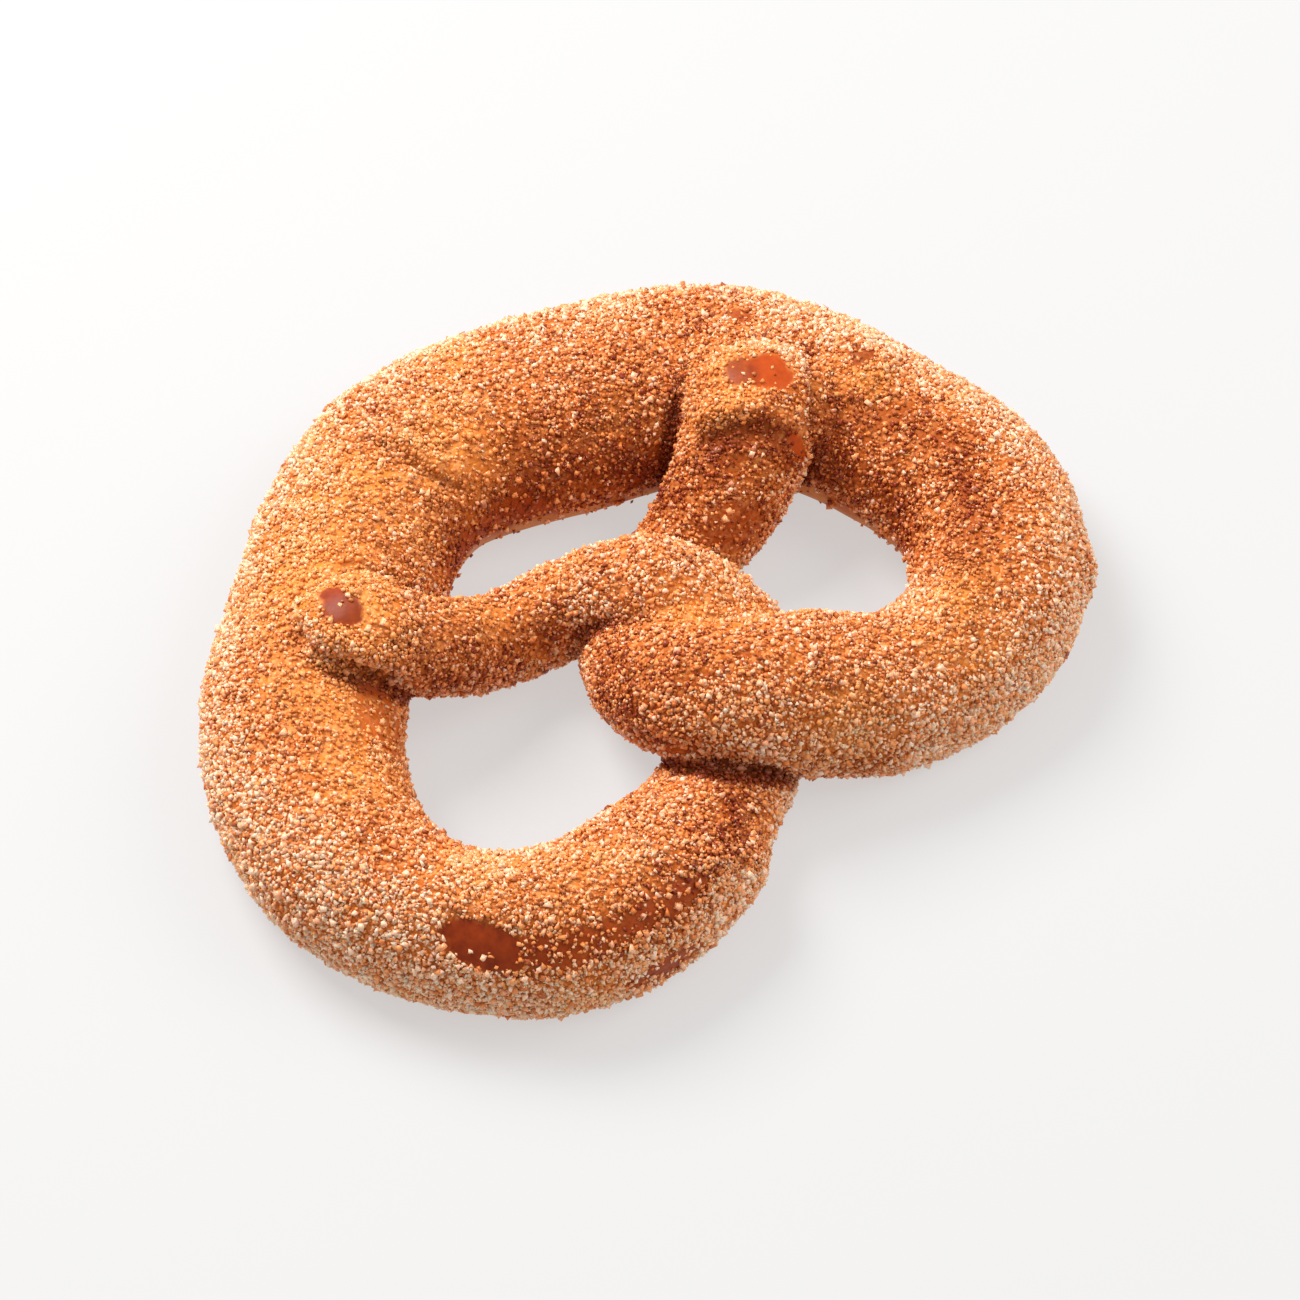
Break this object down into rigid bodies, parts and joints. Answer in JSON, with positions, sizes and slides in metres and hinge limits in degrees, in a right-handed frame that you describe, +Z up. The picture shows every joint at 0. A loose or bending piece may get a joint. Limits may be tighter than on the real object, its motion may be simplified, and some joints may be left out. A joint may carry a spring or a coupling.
{
  "type": "soft pretzel",
  "caption": "Soft pretzel: a baked rope of dough in a loop, its ends twisted round each other and laid back on the loop, coated in cinnamon sugar.",
  "frame": {"origin": "middle of the pretzel's outline, on its flat base", "axes": "+Z up, -X and +X towards the two lobes, +Y towards the round back of the loop"},
  "size_m": [0.1554, 0.1216, 0.0282],
  "materials": {
    "crust": "browned bread crust, part matte and part glazed",
    "sugar": "cinnamon sugar crystals, tan to white"
  },
  "bodies": {
    "root": {"pretzel": "crust"}
  },
  "joints": []
}
